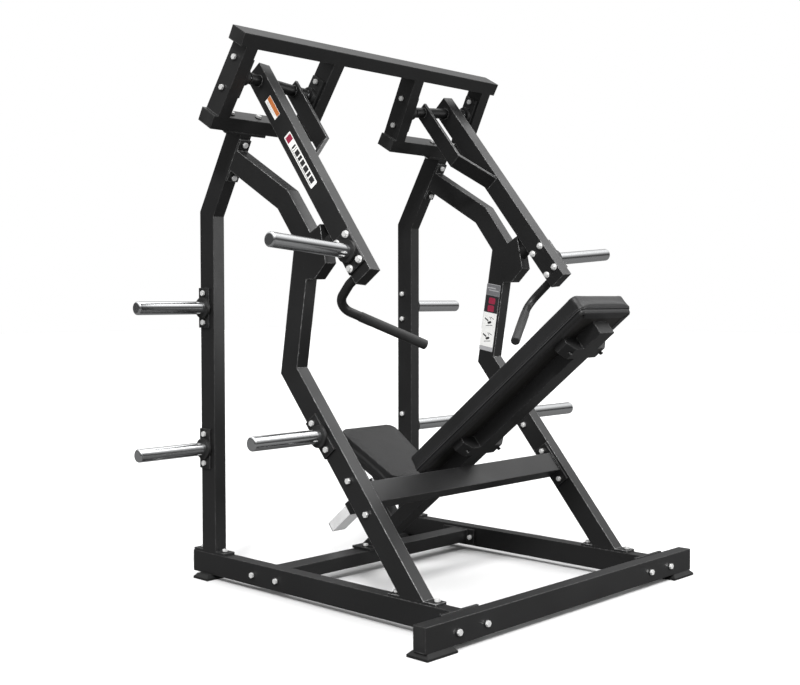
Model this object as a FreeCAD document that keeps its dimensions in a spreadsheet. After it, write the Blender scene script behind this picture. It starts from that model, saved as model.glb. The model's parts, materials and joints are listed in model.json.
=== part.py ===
"""Plate-loaded independent-arm press with a reclined bench, as a parametric FreeCAD document.

Frame: +Z up, the floor at Z = 0, X = 0 on the plane of symmetry and Y = 0 at the middle of the
whole machine; the top of the bench points to -Y and the uprights stand at +Y. Millimetres.
The right-hand side is +X. Left-hand parts are mirror images of right-hand ones.
"""
import FreeCAD, Part
import math
import os
import re
import Sketcher
from FreeCAD import Placement, Rotation, Vector

doc = FreeCAD.newDocument("arm_press")

# ---------------------------------------------------------------- driving dimensions
DRIVING = {
    # square-cornered steel tube and flat plate used throughout
    "tube_w": 50, "tube_d": 80, "wall": 3, "flange": 10, "weld": 1, "cap_len": 9,
    # base frame
    "base_len": 1384, "front_len": 1510, "foot_rise": 20, "side_x": 540,
    # middle of the whole machine's depth, measured from the middle of the base rails
    "middle_y": -61.0,
    "cross_y": 263, "cross_z": 37, "cross_flange_len": 170,
    "cross_bolt_y": 270, "cross_bolt_z": 57,
    # rubber feet
    "foot_len": 136, "foot_wide": 86, "foot_proud": 12, "foot_taper": 12,
    "rear_foot_x": 525, "rear_foot_back": 656,
    # rear upright: centreline, height of its bend, tilt of everything above the bend
    "upright_y": 595, "bend_z": 1382, "head_tilt": 30, "upright_top": 340,
    # head frame, measured up the tilted line from the bend
    "head_top": 710, "head_half": 688, "low_beam_top": 400,
    "low_beam_in": 206, "low_beam_out": 705,
    # pivot of an arm: centre, height in the head frame, sideways splay of the posts
    "pivot_x": 441, "pivot_rise": 530, "splay": 5.2, "post_x": 208,
    "shaft_r": 15, "shaft_half": 181, "shaft_bore_r": 15.04,
    "bearing_foot": 13, "bearing_len": 30, "bearing_ring_r": 19, "bearing_seat_r": 19.04,
    "bearing_ring_start": 143, "shaft_sleeve_r": 21,
    # front leg: centreline from the upright down to the rail
    "brace_rise": 243, "brace_bend": 363, "knee_y": 54, "knee_z": 1275,
    "shin_y": 130, "shin_z": 812, "rake": 50.1, "leg_plate_front": 105, "leg_plate_back": 105,
    # stop stub on the front leg, and its rubber bumper
    "stub_top_y": -33, "stub_top_z": 1317, "stub_tip_y": -61, "stub_tip_z": 1184,
    "stub_low_y": -5, "stub_low_z": 1130, "bumper_r": 23, "bumper_down": 208,
    # press arm, measured from the pivot along the arm
    "arm_swing": 68.3, "arm_reach": 909, "arm_tail": 54, "arm_x": 42,
    "fork_x": 91, "fork_thick": 12, "fork_wide": 64, "fork_tail": 22,
    "fork_bend": 270, "fork_foot": 398,
    "load_peg_at": 803,
    # weight pegs
    "peg_r": 24.5, "peg_root_r": 23.5, "peg_len": 300, "load_peg_len": 354,
    "collar_r": 39, "collar_len": 12, "peg_step": 15,
    "peg_back": 11, "peg_plate_x": 8, "peg_plate_y": 60, "peg_plate_z": 150, "peg_bolt_gap": 110,
    "peg_high_z": 1030, "peg_low_z": 498, "leg_peg_up": 602,
    # handlebar: corners of its centreline in the arm's frame
    "bar_r": 16, "grip_r": 17.5, "grip_len": 250, "bar_knee_r": 32, "bar_elbow_r": 58,
    "bar_root_x": 67, "bar_root_y": 40, "bar_root_z": -876,
    "bar_knee_x": 67, "bar_knee_y": 78, "bar_knee_z": -876,
    "bar_elbow_x": 46, "bar_elbow_y": 183, "bar_elbow_z": -885,
    "bar_end_x": -233, "bar_end_y": 123, "bar_end_z": -1075,
    # bench, in its own inclined frame that starts at the top edge of the backrest
    "bench_y": -774, "bench_z": 1063, "recline": 39.4,
    "pad_len": 912, "pad_w": 292, "pad_over": 8, "pad_low": 14, "pad_thick": 48, "board_thick": 15,
    "spine_start": 41, "spine_w": 80, "spine_d": 50,
    "strap_one": 152, "strap_two": 725, "strap_half": 112, "strap_len": 52, "strap_hole_x": 87,
    "bench_tube_at": 851,
    # seat and its sliding post, in the bench frame
    "sleeve_start": 1240, "sleeve_end": 1427, "post_axis": 86,
    "seat_post_w": 70, "seat_post_d": 40, "seat_post_start": 1163, "seat_post_end": 1560,
    "pin_at": 1275, "pin_r": 6, "pin_pitch": 40, "riser_at": 1290,
    "seat_y": 46, "seat_z": 392, "seat_tilt": 31, "seat_len": 318,
    "seat_back_half": 118, "seat_front_half": 152, "seat_foam": 44, "seat_board": 12,
    "seat_corner_r": 38, "bracket_start": 50, "bracket_len": 205, "web_back_y": 113, "web_back_z": -136,
    "web_front_y": 157, "web_front_z": -121, "pin_housing": 26, "pin_len": 57, "pin_knob_r": 15,
    # fasteners
    "bolt_r": 6, "bolt_hole_r": 6.6, "head_r": 10.4, "head_len": 7.5, "washer_r": 13,
    "washer_len": 2.5, "small_bolt_r": 4, "small_head_r": 6.5,
}

sheet = doc.addObject("Spreadsheet::Sheet", "dims")
for row, (alias, value) in enumerate(DRIVING.items(), start=1):
    sheet.set(f"A{row}", alias)
    sheet.set(f"B{row}", str(value))
    sheet.setAlias(f"B{row}", alias)
doc.recompute()

ALIAS = re.compile(r"\b(" + "|".join(DRIVING) + r")\b")


def expr(text):
    """Spell an expression for FreeCAD: every driving dimension gets its sheet's name."""
    return ALIAS.sub(r"dims.\1", str(text))


def value(text):
    """The number that an expression of driving dimensions has now."""
    return float(sheet.evalExpression(expr(text)))


def bind(obj, **properties):
    """Bind properties to expressions; a double underscore in a name stands for a dot."""
    for name, text in properties.items():
        obj.setExpression(name.replace("__", "."), expr(text))
    return obj


serial = iter(range(1, 100000))


def new(kind, stem):
    return doc.addObject(kind, f"{stem}_{next(serial)}")


# ---------------------------------------------------------------- primitives
def box(x, y, z, dx, dy, dz):
    """A block from its lowest corner and its three sizes, all of them expressions."""
    block = new("Part::Box", "block")
    bind(block, Length=dx, Width=dy, Height=dz,
         Placement__Base__x=x, Placement__Base__y=y, Placement__Base__z=z)
    return block


def centred_box(x, y, z, dx, dy, dz):
    return box(f"{x} - ({dx}) / 2", f"{y} - ({dy}) / 2", f"{z} - ({dz}) / 2", dx, dy, dz)


TURN = {"x": Rotation(Vector(0, 1, 0), 90), "y": Rotation(Vector(1, 0, 0), -90),
        "z": Rotation()}


def rod(axis, x, y, z, radius, length):
    """A cylinder that starts at x, y, z and runs along +axis."""
    solid = new("Part::Cylinder", "rod")
    solid.Placement = Placement(Vector(), TURN[axis])
    bind(solid, Radius=radius, Height=length,
         Placement__Base__x=x, Placement__Base__y=y, Placement__Base__z=z)
    return solid


def hexagon(axis, x, y, z, across, length):
    """A hexagonal prism that starts at x, y, z and runs along +axis."""
    solid = new("Part::Prism", "hexagon")
    solid.Polygon = 6
    solid.Placement = Placement(Vector(), TURN[axis])
    bind(solid, Circumradius=across, Height=length,
         Placement__Base__x=x, Placement__Base__y=y, Placement__Base__z=z)
    return solid


def fuse(*parts):
    joined = new("Part::MultiFuse", "joined")
    joined.Shapes = list(parts)
    joined.Refine = True
    return joined


def cut(base, *tools):
    trimmed = base
    for tool in tools:
        step = new("Part::Cut", "trimmed")
        step.Base = trimmed
        step.Tool = tool
        step.Refine = True
        trimmed = step
    return trimmed


def group(*parts):
    bundle = new("Part::Compound", "bundle")
    bundle.Links = list(parts)
    return bundle


def tube(along, x, y, z, dx, dy, dz):
    """A rectangular tube from its lowest corner, open at both ends."""
    inner = []
    for axis, start, size in (("x", x, dx), ("y", y, dy), ("z", z, dz)):
        if axis == along:
            inner.append((start, size))
        else:
            inner.append((f"{start} + wall", f"{size} - 2 * wall"))
    starts = [start for start, size in inner]
    sizes = [size for start, size in inner]
    return cut(box(x, y, z, dx, dy, dz), box(*starts, *sizes))


# ---------------------------------------------------------------- sketched pieces
def origin_plane(body, role):
    return next(item for item in body.Origin.OriginFeatures if item.Role == role)


def sketch_on(body, role, name):
    sketch = body.newObject("Sketcher::SketchObject", f"{name}_{next(serial)}")
    sketch.AttachmentSupport = (origin_plane(body, role), "")
    sketch.MapMode = "FlatFace"
    return sketch


def draw_outline(sketch, points):
    """A closed outline of straight edges whose corners are bound to expressions."""
    flat = [Vector(value(x), value(y), 0) for x, y in points]
    count = len(flat)
    for index in range(count):
        sketch.addGeometry(Part.LineSegment(flat[index], flat[(index + 1) % count]), False)
    for index in range(count):
        sketch.addConstraint(Sketcher.Constraint("Coincident", index, 2, (index + 1) % count, 1))
    for index, (x, y) in enumerate(points):
        for kind, text, number in (("DistanceX", x, flat[index].x), ("DistanceY", y, flat[index].y)):
            row = sketch.addConstraint(Sketcher.Constraint(kind, -1, 1, index, 1, number))
            sketch.renameConstraint(row, f"corner_{index}_{kind}")
            sketch.setExpression(f"Constraints.corner_{index}_{kind}", expr(text))


def pad(body, role, points, length, name="profile"):
    """A prism on both sides of an origin plane."""
    sketch = sketch_on(body, role, name)
    draw_outline(sketch, points)
    feature = body.newObject("PartDesign::Pad", f"pad_{next(serial)}")
    feature.Profile = sketch
    feature.Midplane = True
    bind(feature, Length=length)
    body.Tip = feature
    doc.recompute()
    return feature


def pocket(body, role, points, length, name="hollow"):
    """A cut on both sides of an origin plane; it has to remove material."""
    before = body.Shape.Volume
    sketch = sketch_on(body, role, name)
    draw_outline(sketch, points)
    feature = body.newObject("PartDesign::Pocket", f"pocket_{next(serial)}")
    feature.Profile = sketch
    feature.Midplane = True
    bind(feature, Length=length)
    body.Tip = feature
    doc.recompute()
    if body.Shape.Volume >= before:
        raise RuntimeError(f"{feature.Name} removed nothing")
    return feature


def side_prism(points, length):
    """A solid prism of a (Y, Z) outline, on both sides of X = 0."""
    body = new("PartDesign::Body", "prism")
    pad(body, "YZ_Plane", points, length)
    return body


def offset_corner(y, z, angle_in, angle_out, offset):
    """The corner of a line that runs at a distance beside a centreline that turns at y, z."""
    mean = f"(({angle_in}) + ({angle_out})) / 2"
    half_turn = f"(({angle_out}) - ({angle_in})) / 2"
    return (f"({y}) - ({offset}) * sin({mean}) / cos({half_turn})",
            f"({z}) + ({offset}) * cos({mean}) / cos({half_turn})")


def bent_tube(corners, start_mitre, end_mitre):
    """A tube bent in the YZ plane, about X = 0.

    corners: the centreline's points. Each mitre is the angle that the tube would have if its
    end were cut square; an end cut level on a sloping tube has a mitre of 90 degrees.
    """
    angles = []
    for (y0, z0), (y1, z1) in zip(corners, corners[1:]):
        angles.append(math.degrees(math.atan2(value(z1) - value(z0), value(y1) - value(y0))))
    first = 2 * value(start_mitre) - angles[0]
    last = 2 * value(end_mitre) - angles[-1]
    turns = list(zip([first] + angles, angles + [last]))
    body = new("PartDesign::Body", "bent_tube")
    for offset, width, make in (("tube_d / 2", "tube_w", pad),
                                ("(tube_d / 2 - wall)", "tube_w - 2 * wall", pocket)):
        ahead = [offset_corner(y, z, before, after, offset)
                 for (y, z), (before, after) in zip(corners, turns)]
        back = [offset_corner(y, z, before, after, f"-{offset}")
                for (y, z), (before, after) in zip(corners, turns)]
        make(body, "YZ_Plane", ahead + back[::-1], width)
    return body


# ---------------------------------------------------------------- placing and naming
finished = {}


def finish(label, obj, placement=Placement()):
    """Name a finished sub-part and put it in the machine."""
    obj = moved(obj, TO_ORIGIN.multiply(placement))
    obj.Label = label
    finished[label] = obj
    return obj


def mirrored(label, source):
    """The mirror image of a finished right-hand sub-part."""
    twin = doc.addObject("Part::Mirroring", f"{label}_mirror")
    twin.Source = source
    twin.Normal = (1, 0, 0)
    twin.Base = (0, 0, 0)
    twin.Label = label
    finished[label] = twin
    return twin


def with_twin(right):
    """A right-hand shape together with its mirror image, as one group."""
    twin = new("Part::Mirroring", "twin")
    twin.Source = right
    twin.Normal = (1, 0, 0)
    return group(right, twin)


def both_sides(stem, obj, placement=Placement()):
    right = finish(f"right_{stem}", obj, placement)
    return right, mirrored(f"left_{stem}", right)


def moved(obj, placement):
    """The same shape elsewhere, kept as a link of its own."""
    copy = new("Part::Compound", "moved")
    copy.Links = [obj]
    copy.Placement = placement
    return copy


TO_ORIGIN = Placement(Vector(0, -value("middle_y"), 0), Rotation())
HEAD = Placement(Vector(0, value("upright_y"), value("bend_z")),
                 Rotation(Vector(1, 0, 0), value("head_tilt")))
PIVOT = HEAD.multiply(Placement(Vector(value("pivot_x"), 0, value("pivot_rise")),
                                Rotation(Vector(0, 1, 0), -value("splay"))))
ARM = PIVOT.multiply(Placement(Vector(), Rotation(Vector(1, 0, 0), -value("arm_swing"))))
BENCH = Placement(Vector(0, value("bench_y"), value("bench_z")),
                  Rotation(Vector(1, 0, 0), -value("recline")))
SEAT = Placement(Vector(0, value("seat_y"), value("seat_z")),
                 Rotation(Vector(1, 0, 0), value("seat_tilt")))
SIDE = Placement(Vector(value("side_x"), 0, 0), Rotation())
TOWARD = {"+x": Rotation(Vector(0, 1, 0), 90), "-x": Rotation(Vector(0, 1, 0), -90),
          "+y": Rotation(Vector(1, 0, 0), -90), "-y": Rotation(Vector(1, 0, 0), 90),
          "+z": Rotation(), "-z": Rotation(Vector(1, 0, 0), 180)}


def spot(frame, x, y, z, toward="+z"):
    """A place in a frame, given by expressions, whose own +Z looks in a direction."""
    here = Placement(Vector(value(x), value(y), value(z)), TOWARD[toward])
    return frame.multiply(here)


# ---------------------------------------------------------------- fasteners
middle_bolts = []
right_bolts = []
arm_bolts = []


def bolts(places, grip, row=right_bolts):
    """Note through bolts whose heads stand at these places, looking outward, and their holes.

    grip is the thickness of what the bolt clamps. The bolts of the right side are mirrored
    onto the left later. Returns the cutting tool for the holes.
    """
    tools = []
    for place in places:
        row.append((place, grip))
        tools.append(moved(rod("z", 0, 0, f"-({grip}) - 30", "bolt_hole_r", f"({grip}) + 60"),
                           place))
    return group(*tools)


def one_bolt(place, grip):
    """Hexagon head, shank and nut of one through bolt."""
    head = hexagon("z", 0, 0, "washer_len", "head_r", "head_len")
    shank = rod("z", 0, 0, f"-({grip}) - washer_len - head_len - 2", "bolt_r",
                f"({grip}) + washer_len * 2 + head_len + 3")
    bolt = fuse(head, shank)
    bolt.Placement = place
    return bolt


def one_washer_pair(place, grip):
    near = cut(rod("z", 0, 0, 0, "washer_r", "washer_len"),
               rod("z", 0, 0, -1, "bolt_hole_r", "washer_len + 2"))
    far = cut(rod("z", 0, 0, f"-({grip}) - washer_len", "washer_r", "washer_len"),
              rod("z", 0, 0, f"-({grip}) - washer_len - 1", "bolt_hole_r", "washer_len + 2"))
    pair = group(near, far)
    pair.Placement = place
    return pair


def one_nut(place, grip):
    nut = cut(hexagon("z", 0, 0, f"-({grip}) - washer_len - head_len", "head_r", "head_len"),
              rod("z", 0, 0, f"-({grip}) - washer_len - head_len - 1", "bolt_r + 0.05",
                  "head_len + 2"))
    nut.Placement = place
    return nut


# ---------------------------------------------------------------- base frame
RAIL_TOP = "(foot_rise + tube_d)"
HALF_LEN = "(base_len / 2)"
LEG_FOOT_RISE = f"({RAIL_TOP} + flange)"


def leg_foot_y():
    """Where the sloping shin's centreline meets the top of its foot plate."""
    return f"(shin_y - (shin_z - {LEG_FOOT_RISE}) / tan(rake))"


def base_frame():
    beam = tube("x", "-front_len / 2", f"-{HALF_LEN}", "foot_rise",
                "front_len", "tube_w", "tube_d")
    beam_bolts = bolts([spot(Placement(), f"{side} * (side_x + {step})", f"-{HALF_LEN}",
                             "foot_rise + 37", "-y")
                        for side in (-1, 1) for step in ("67", "-67")],
                       "tube_w + flange", middle_bolts)
    finish("front_beam", cut(beam, beam_bolts))

    rail = tube("y", "-tube_w / 2", f"-{HALF_LEN} + tube_w + flange - weld", "foot_rise",
                "tube_w", "base_len - tube_w - flange + weld", "tube_d")
    face = box("-87", f"-{HALF_LEN} + tube_w", "foot_rise + 1", "174", "flange", "tube_d + 3")
    face_holes = group(*[rod("y", f"{step}", f"-{HALF_LEN} + tube_w - 5", "foot_rise + 37",
                             "bolt_hole_r", "flange + 10") for step in ("67", "-67")])
    foot_y = leg_foot_y()
    down = [spot(SIDE, "0", y, f"{RAIL_TOP} + flange", "+z")
            for y in (f"{foot_y} - leg_plate_front + 16", f"{foot_y} + leg_plate_back - 16",
                      "upright_y - 66", "upright_y + 66")]
    down_holes = bolts(down, "flange + wall")
    cross_holes = bolts([spot(SIDE, "tube_w / 2", f"cross_bolt_y + {step}", "cross_bolt_z", "+x")
                         for step in ("66", "-66")], "tube_w + flange")
    body = fuse(rail, face)
    holes = [moved(tool, SIDE.inverse()) for tool in (down_holes, cross_holes)]
    both_sides("base_rail", cut(body, face_holes, *holes), SIDE)

    span = "(2 * side_x - tube_w)"
    plate_size = ("flange", "cross_flange_len", "66")
    right_end = centred_box(f"{span} / 2 - flange / 2", "cross_bolt_y", "cross_bolt_z", *plate_size)
    left_end = centred_box(f"-{span} / 2 + flange / 2", "cross_bolt_y", "cross_bolt_z", *plate_size)
    beam = tube("x", f"-{span} / 2 + flange - weld", "cross_y - tube_d / 2", "cross_z",
                f"{span} - 2 * flange + 2 * weld", "tube_d", "tube_w")
    end_holes = group(*[rod("x", f"{side} * ({span} / 2) - 20", f"cross_bolt_y + {step}",
                            "cross_bolt_z", "bolt_hole_r", "40")
                        for side in (-1, 1) for step in ("66", "-66")])
    bench_holes = bolts([spot(Placement(), x, "cross_y",
                              "cross_z + tube_w + flange", "+z") for x in ("-58", "58")],
                        "flange + wall", middle_bolts)
    finish("mid_cross_beam", cut(fuse(beam, right_end, left_end), end_holes, bench_holes))


def rubber_foot(x, y, dx, dy):
    """A moulded pad whose sides taper toward its top."""
    block = box(x, y, "0", dx, dy, "foot_rise")
    doc.recompute()
    tapered = new("Part::Chamfer", "tapered")
    tapered.Base = block
    top = [row for row, edge in enumerate(block.Shape.Edges, start=1)
           if min(vertex.Z for vertex in edge.Vertexes) > value("foot_rise") - 1]
    tapered.Edges = [(row, value("foot_taper"), value("foot_taper")) for row in top]
    return tapered


def rubber_feet():
    """Pads under the ends of the front beam and of the rails."""
    feet = []
    for side in (-1, 1):
        feet.append(rubber_foot(f"{side} * (front_len / 2 + 4 - foot_len / 2) - foot_len / 2",
                                f"-{HALF_LEN} - foot_proud", "foot_len", "foot_wide"))
        feet.append(rubber_foot(f"{side} * rear_foot_x - foot_len / 2",
                                "rear_foot_back - foot_wide", "foot_len", "foot_wide"))
    finish("rubber_feet", group(*feet))


# ---------------------------------------------------------------- uprights and front legs
def along_head(distance, across):
    """A point of the tilted line: distance up it from the bend, across toward the back."""
    return (f"(upright_y - ({distance}) * sin(head_tilt) + ({across}) * cos(head_tilt))",
            f"(bend_z + ({distance}) * cos(head_tilt) + ({across}) * sin(head_tilt))")


def storage_plate_holes(side_face, centre_y, centre_z, lean):
    """Bolts of a storage peg's plate on the outer face of a tube; the plate leans with it."""
    reach = "peg_bolt_gap / 2"
    places = [spot(SIDE, side_face,
                   f"{centre_y} + {end} * {reach} * cos({lean}) + peg_back * sin({lean})",
                   f"{centre_z} + {end} * {reach} * sin({lean}) - peg_back * cos({lean})", "+x")
              for end in (-1, 1)]
    return bolts(places, "peg_plate_x + tube_w")


def rear_upright():
    foot = ("upright_y", f"({RAIL_TOP} + flange - weld)")
    top = along_head("(upright_top + weld)", "0")
    stem = bent_tube([foot, ("upright_y", "bend_z"), top], "90", "90 + head_tilt")
    base_plate = centred_box("0", "upright_y", f"{RAIL_TOP} + flange / 2", "tube_w",
                             "tube_d + 104", "flange")
    base_holes = group(*[rod("z", "0", f"upright_y + {step}", f"{RAIL_TOP} - 5",
                             "bolt_hole_r", "flange + 10") for step in ("66", "-66")])
    top_plate = moved(centred_box("0", "0", "upright_top + flange / 2", "tube_w + 130",
                                  "tube_d", "flange"), HEAD)
    brace_holes = bolts([spot(SIDE.multiply(HEAD), "0", "-tube_d / 2 - flange",
                              f"brace_rise + {step}", "-y") for step in ("66", "-66")],
                        "flange + wall")
    head_holes = bolts([spot(SIDE.multiply(HEAD), x, "0", "low_beam_top", "+z")
                        for x in ("-62", "62")], "tube_w + flange")
    peg_holes = [storage_plate_holes("tube_w / 2 + peg_plate_x", "upright_y", height, "90")
                 for height in ("peg_high_z", "peg_low_z")]
    body = fuse(stem, base_plate, top_plate)
    tools = [moved(tool, SIDE.inverse()) for tool in (brace_holes, head_holes, *peg_holes)]
    both_sides("rear_upright", cut(body, base_holes, *tools), SIDE)


def front_leg():
    brace_end = along_head("brace_rise", "-tube_d / 2 - flange + weld")
    brace_bend = along_head("brace_rise", "-brace_bend")
    foot = (leg_foot_y(), f"({LEG_FOOT_RISE} - weld)")
    stem = bent_tube([foot, ("shin_y", "shin_z"), ("knee_y", "knee_z"), brace_bend, brace_end],
                     "90", "head_tilt")
    foot_plate = box("-tube_w / 2", f"{leg_foot_y()} - leg_plate_front", RAIL_TOP, "tube_w",
                     "leg_plate_front + leg_plate_back", "flange")
    foot_holes = group(*[rod("z", "0", y, f"{RAIL_TOP} - 5", "bolt_hole_r", "flange + 10")
                         for y in (f"{leg_foot_y()} - leg_plate_front + 16",
                                   f"{leg_foot_y()} + leg_plate_back - 16")])
    brace_plate = moved(centred_box("0", "-tube_d / 2 - flange / 2", "brace_rise", "tube_w",
                                    "flange", "166"), HEAD)
    brace_holes = moved(group(*[rod("y", "0", "-tube_d / 2 - flange - 5", f"brace_rise + {step}",
                                    "bolt_hole_r", "flange + 10") for step in ("66", "-66")]),
                        HEAD)
    body = fuse(stem, foot_plate, brace_plate, stop_stub())
    peg_y = "(shin_y - (shin_z - leg_peg_up) / tan(rake))"
    peg_holes = storage_plate_holes("tube_w / 2 + peg_plate_x", peg_y, "leg_peg_up", "rake")
    tie_holes = bolts([spot(SIDE.multiply(leg_tie_frame()), "tube_w / 2", "0", f"{step}", "+x")
                       for step in ("66", "-66")], "tube_w + flange")
    tools = [moved(tool, SIDE.inverse()) for tool in (peg_holes, tie_holes)]
    both_sides("front_leg", cut(body, foot_holes, brace_holes, *tools), SIDE)


def leg_tie_frame():
    """Where the tube that ties the two legs crosses them, in the bench's own directions."""
    return BENCH.multiply(Placement(Vector(0, value("bench_tube_at"),
                                           -value("pad_thick + board_thick + spine_d + tube_d/2")),
                                    Rotation()))


def stop_stub():
    """The block on the leg that carries the arm's rubber bumper."""
    return side_prism([("stub_top_y", "stub_top_z"), ("stub_tip_y", "stub_tip_z"),
                       ("stub_low_y", "stub_low_z"), ("knee_y + 6", "stub_low_z"),
                       ("knee_y - 30", "knee_z + 10")], "tube_w")


def stop_bumpers():
    """Rubber buffers that the arms rest on, from the stub's face to the arm's back."""
    face = "tube_d / 2 + 0.5"
    centre = "arm_x + tube_w / 2"
    reach = rod("y", centre, face, "-arm_reach + bumper_down", "bumper_r", "90")
    stub = moved(stop_stub(), ARM.inverse().multiply(SIDE))
    leg = box("-300", "110", "-arm_reach", "900", "300", "arm_reach")
    finish("stop_bumpers", with_twin(moved(cut(reach, stub, leg), ARM)))


# ---------------------------------------------------------------- head frame
def head_frame():
    """Top beam, two short lower beams and four splayed posts, welded into one piece."""
    top = tube("x", "-head_half", "-tube_d / 2", "head_top - tube_w", "2 * head_half", "tube_d",
               "tube_w")
    parts = [top]
    for side in (-1, 1):
        start = f"{side} * (low_beam_in + low_beam_out) / 2 - (low_beam_out - low_beam_in) / 2"
        parts.append(tube("x", start, "-tube_d / 2", "low_beam_top - tube_w",
                          "low_beam_out - low_beam_in", "tube_d", "tube_w"))
        for offset in ("post_x", "-post_x"):
            parts.append(splayed_post(side, offset))
    head_holes = group(*[rod("z", f"{side} * side_x + {step}", "0", "low_beam_top - tube_w - 20",
                             "bolt_hole_r", "tube_w + 40")
                         for side in (-1, 1) for step in ("62", "-62")])
    bearing_holes = moved(bolts(bearing_bolt_spots(), "tube_w + bearing_foot"), HEAD.inverse())
    finish("head_frame", cut(fuse(*parts), head_holes, with_twin(bearing_holes)), HEAD)


def splayed_post(side, offset):
    """One post that leans with the pivot's axis, cut level where it meets both beams."""
    post = tube("z", "-tube_w / 2", "-tube_d / 2", "low_beam_top - pivot_rise - 40", "tube_w",
                "tube_d", "head_top - low_beam_top + 80")
    lean = Rotation(Vector(0, 1, 0), -side * value("splay"))
    at = Placement(Vector(side * value("pivot_x"), 0, value("pivot_rise")), lean)
    leaning = moved(post, at.multiply(Placement(Vector(value(offset), 0, 0), Rotation())))
    cut_level = new("Part::Common", "cut_level")
    cut_level.Base = leaning
    cut_level.Tool = box("-head_half", "-tube_d", "low_beam_top - 1", "2 * head_half", "2 * tube_d",
                         "head_top - tube_w - low_beam_top + 2")
    return cut_level


def bearing_bolt_spots():
    """Bolts of the flange bearings, heads on the posts' outward faces."""
    places = []
    for end in (-1, 1):
        for step in ("58", "-58"):
            toward = "+x" if end > 0 else "-x"
            places.append(spot(PIVOT, f"{end} * (post_x + tube_w / 2)", "0", step, toward))
    return places


# ---------------------------------------------------------------- pivots
def bearing_housings():
    """Two-bolt flange bearings on the facing sides of the posts."""
    housings = []
    for end in (-1, 1):
        face = f"{end} * (post_x - tube_w / 2)"
        toward = "-x" if end > 0 else "+x"
        base = centred_box("0", "0", "bearing_foot / 2", "146", "62", "bearing_foot")
        barrel = rod("z", "0", "0", "0", "30", "bearing_len")
        bore = rod("z", "0", "0", "-5", "bearing_seat_r", "bearing_len + 10")
        holes = group(*[rod("z", step, "0", "-5", "bolt_hole_r", "bearing_foot + 10")
                        for step in ("58", "-58")])
        housings.append(moved(cut(fuse(base, barrel), bore, holes),
                              spot(PIVOT, face, "0", "0", toward)))
    both_sides("bearing_housings", group(*housings))


def bearing_rings():
    """The bearings' inner rings, which turn with the shaft."""
    rings = []
    for start in ("bearing_ring_start", "-bearing_ring_start - bearing_len - 4"):
        ring = cut(rod("x", start, "0", "0", "bearing_ring_r", "bearing_len + 4"),
                   rod("x", f"{start} - 5", "0", "0", "shaft_bore_r", "bearing_len + 14"))
        rings.append(ring)
    both_sides("bearing_rings", group(*rings), ARM)


def pivot_shaft():
    """The arm's axle with the sleeve that the arm and its fork are welded to."""
    both_sides("pivot_shaft", rod("x", "-shaft_half", "0", "0", "shaft_r", "2 * shaft_half"), ARM)


# ---------------------------------------------------------------- press arms
def press_arm():
    """Arm tube, fork bar and pivot sleeve, welded; the arm hangs down its own -Z."""
    main = tube("z", "arm_x", "-tube_d / 2", "-arm_reach", "tube_w", "tube_d",
                "arm_reach + arm_tail")
    outer = [("-fork_x", "fork_tail"), ("-fork_x", "-fork_bend"), ("arm_x + weld", "-fork_foot")]
    inner = [("arm_x + weld", "-fork_foot + fork_thick * 1.42"),
             ("-fork_x + fork_thick", "-fork_bend + fork_thick * 0.4"),
             ("-fork_x + fork_thick", "fork_tail")]
    fork = new("PartDesign::Body", "fork")
    pad(fork, "XZ_Plane", outer + inner, "fork_wide")
    sleeve = rod("x", "-bearing_ring_start + 4", "0", "0", "shaft_sleeve_r",
                 "2 * bearing_ring_start - 8")
    bore = rod("x", "-shaft_half", "0", "0", "shaft_bore_r", "2 * shaft_half")
    peg_holes = [moved(bolts([spot(ARM, "arm_x + tube_w + peg_plate_x", y,
                                   f"-load_peg_at + {rise}", "+x")
                              for y in ("-25", "25") for rise in ("-54", "54")],
                             "tube_w + peg_plate_x", arm_bolts), ARM.inverse())]
    both_sides("press_arm", cut(fuse(main, fork, sleeve), bore, *peg_holes), ARM)


def arm_end_caps():
    """Plastic plugs pressed into the two ends of an arm tube, flush with them."""
    size = ("tube_w - 2 * wall", "tube_d - 2 * wall", "cap_len")
    low = centred_box("arm_x + tube_w / 2", "0", "-arm_reach + cap_len / 2", *size)
    high = centred_box("arm_x + tube_w / 2", "0", "arm_tail - cap_len / 2", *size)
    both_sides("arm_end_caps", group(low, high), ARM)


def tube_end_caps():
    """Plastic plugs in the open ends of the frame's tubes, flush with them."""
    deep = "tube_d - 2 * wall"
    slim = "tube_w - 2 * wall"
    caps = []
    for side in (-1, 1):
        caps.append(centred_box(f"{side} * (front_len - cap_len) / 2",
                                f"-{HALF_LEN} + tube_w / 2", "foot_rise + tube_d / 2",
                                "cap_len", slim, deep))
        caps.append(centred_box(f"{side} * side_x", f"{HALF_LEN} - cap_len / 2",
                                "foot_rise + tube_d / 2", slim, "cap_len", deep))
        for at, rise in (("(head_half - cap_len / 2)", "head_top - tube_w / 2"),
                         ("(low_beam_out - cap_len / 2)", "low_beam_top - tube_w / 2"),
                         ("(low_beam_in + cap_len / 2)", "low_beam_top - tube_w / 2")):
            caps.append(moved(centred_box(f"{side} * {at}", "0", rise, "cap_len", deep, slim),
                              HEAD))
    caps.append(moved(centred_box("0", "spine_start + cap_len / 2", f"{SPINE_TOP} - spine_d / 2",
                                  "spine_w - 2 * wall", "cap_len", "spine_d - 2 * wall"), BENCH))
    finish("tube_end_caps", group(*caps))


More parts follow.
